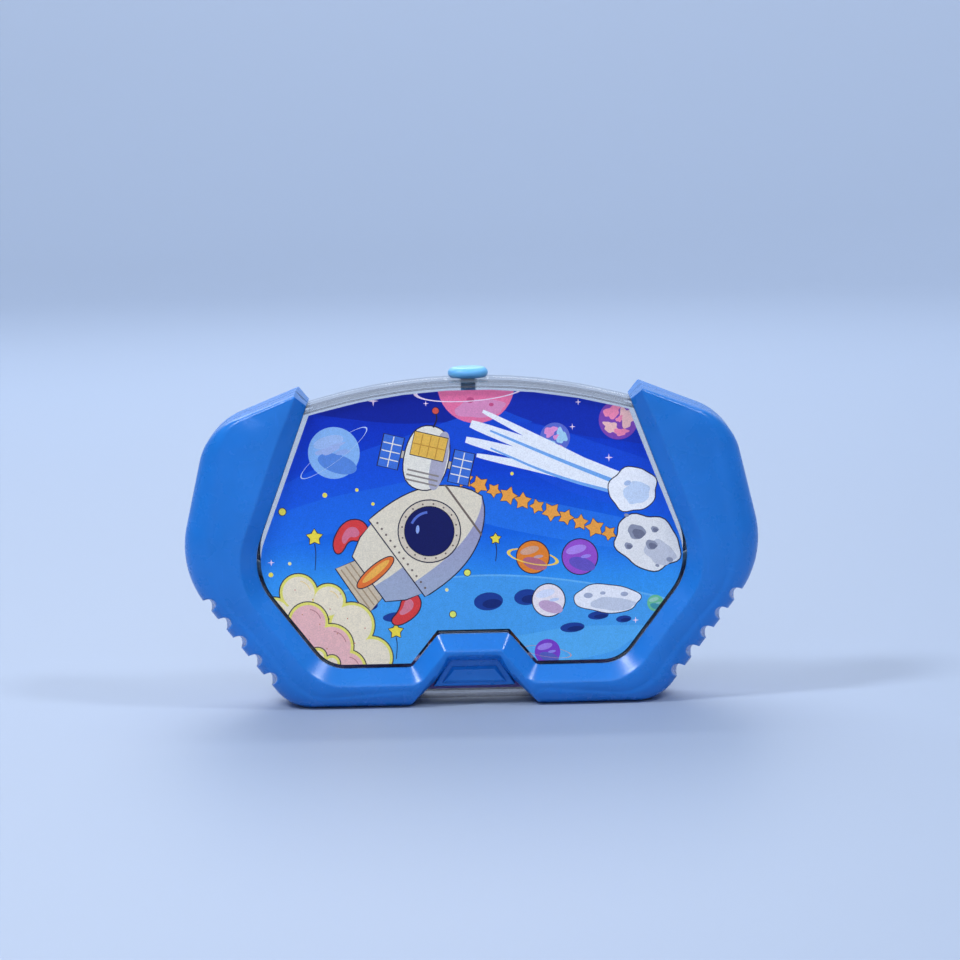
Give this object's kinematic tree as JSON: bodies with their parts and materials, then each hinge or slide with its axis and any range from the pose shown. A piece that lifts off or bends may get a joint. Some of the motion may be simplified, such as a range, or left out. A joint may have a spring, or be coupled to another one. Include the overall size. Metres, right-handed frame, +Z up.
{
  "type": "handheld water ring toss game",
  "caption": "Hand-held water ring-toss game: a clear tank with a filler plug, pegs and loose rings in a blue two-grip shell, with a pump button in each grip.",
  "frame": {"origin": "middle of the bottom of the object's box, on the surface it stands on", "axes": "+Z up as the game stands, +X across the width, play side facing -Y and the back facing +Y"},
  "size_m": [0.1638, 0.031, 0.0957],
  "materials": {
    "shell_blue": "satin moulded plastic with fine scuffs",
    "tank_clear": "clear moulded plastic, glossy",
    "printed_card": "printed paper with a light gloss",
    "plug_light_blue": "soft translucent vinyl",
    "ground_purple": "glossy moulded plastic",
    "button_yellow": "glossy moulded plastic",
    "bellows_rubber": "soft white rubber",
    "jet_light_blue": "translucent moulded plastic",
    "peg_orange": "glossy moulded plastic",
    "ring_red": "glossy moulded plastic",
    "ring_yellow": "glossy moulded plastic",
    "ring_green": "glossy moulded plastic",
    "ring_pink": "glossy moulded plastic"
  },
  "bodies": {
    "shell": {"rear_frame": "shell_blue", "front_frame": "shell_blue", "tank_front": "tank_clear", "tank_back": "tank_clear", "filler_neck": "tank_clear", "backdrop_card": "printed_card", "rear_label": "printed_card", "ground_insert": "ground_purple", "left_bellows": "bellows_rubber", "right_bellows": "bellows_rubber", "left_clamp_ring": "shell_blue", "right_clamp_ring": "shell_blue", "left_jet_tube": "jet_light_blue", "right_jet_tube": "jet_light_blue", "peg_1": "peg_orange", "peg_2": "peg_orange", "peg_3": "peg_orange", "peg_4": "peg_orange"},
    "left_button": {"left_button": "button_yellow"},
    "right_button": {"right_button": "button_yellow"},
    "filler_plug": {"filler_plug": "plug_light_blue"},
    "ring_1": {"ring_1": "ring_red"},
    "ring_2": {"ring_2": "ring_yellow"},
    "ring_3": {"ring_3": "ring_green"},
    "ring_4": {"ring_4": "ring_pink"},
    "ring_5": {"ring_5": "ring_yellow"},
    "ring_6": {"ring_6": "ring_green"},
    "ring_7": {"ring_7": "ring_pink"}
  },
  "joints": [
    {"name": "left_button_press", "type": "slide", "parent": "shell", "child": "left_button", "axis": [0, 1, 0], "range_m": [0, 0.0035], "stiffness_N_per_m": 600, "deforming": ["left_bellows"]},
    {"name": "right_button_press", "type": "slide", "parent": "shell", "child": "right_button", "axis": [0, 1, 0], "range_m": [0, 0.0035], "stiffness_N_per_m": 600, "deforming": ["right_bellows"]},
    {"name": "filler_plug_pull", "type": "slide", "parent": "shell", "child": "filler_plug", "axis": [0, 0, 1], "range_m": [0, 0.014]},
    {"name": "ring_1_float", "type": "slide", "parent": "shell", "child": "ring_1", "axis": [0, 0, 1], "range_m": [0, 0.024]},
    {"name": "ring_2_float", "type": "slide", "parent": "shell", "child": "ring_2", "axis": [0, 0, 1], "range_m": [0, 0.018]},
    {"name": "ring_3_float", "type": "slide", "parent": "shell", "child": "ring_3", "axis": [0, 0, 1], "range_m": [0, 0.022]},
    {"name": "ring_4_float", "type": "slide", "parent": "shell", "child": "ring_4", "axis": [0, 0, 1], "range_m": [0, 0.024]},
    {"name": "ring_5_float", "type": "slide", "parent": "shell", "child": "ring_5", "axis": [0, 0, 1], "range_m": [0, 0.024]},
    {"name": "ring_6_float", "type": "slide", "parent": "shell", "child": "ring_6", "axis": [0, 0, 1], "range_m": [0, 0.024]},
    {"name": "ring_7_float", "type": "slide", "parent": "shell", "child": "ring_7", "axis": [0, 0, 1], "range_m": [0, 0.024]}
  ]
}
